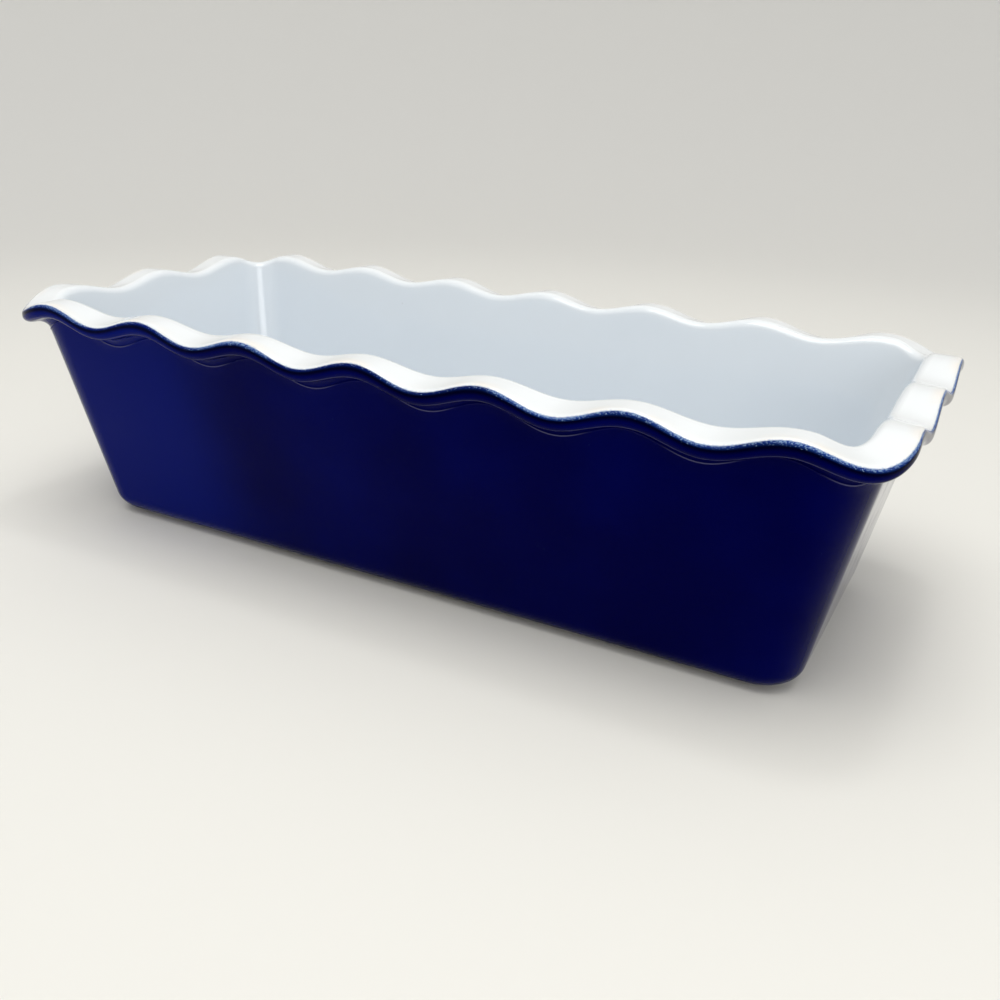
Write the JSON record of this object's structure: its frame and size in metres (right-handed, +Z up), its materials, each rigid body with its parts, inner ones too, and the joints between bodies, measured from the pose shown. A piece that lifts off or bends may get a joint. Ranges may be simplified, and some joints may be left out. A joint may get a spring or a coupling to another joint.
{
  "type": "loaf pan",
  "caption": "Deep rectangular ceramic loaf pan with sloping walls and a ruffled overhanging lip, white glaze inside and blue glaze outside, on a bare clay foot ring.",
  "frame": {"origin": "middle of the plane the foot ring stands on", "axes": "+X along the pan, +Y across it, +Z up out of the open top"},
  "size_m": [0.3206, 0.1436, 0.0873],
  "materials": {
    "fired_clay": "bare reddish-brown fired clay, matt",
    "white_glaze": "glossy white glaze",
    "blue_glaze": "glossy deep cobalt glaze"
  },
  "bodies": {
    "root": {"clay_body": "fired_clay", "white_lining_glaze": "white_glaze", "blue_outer_glaze": "blue_glaze", "blue_base_glaze": "blue_glaze"}
  },
  "joints": []
}
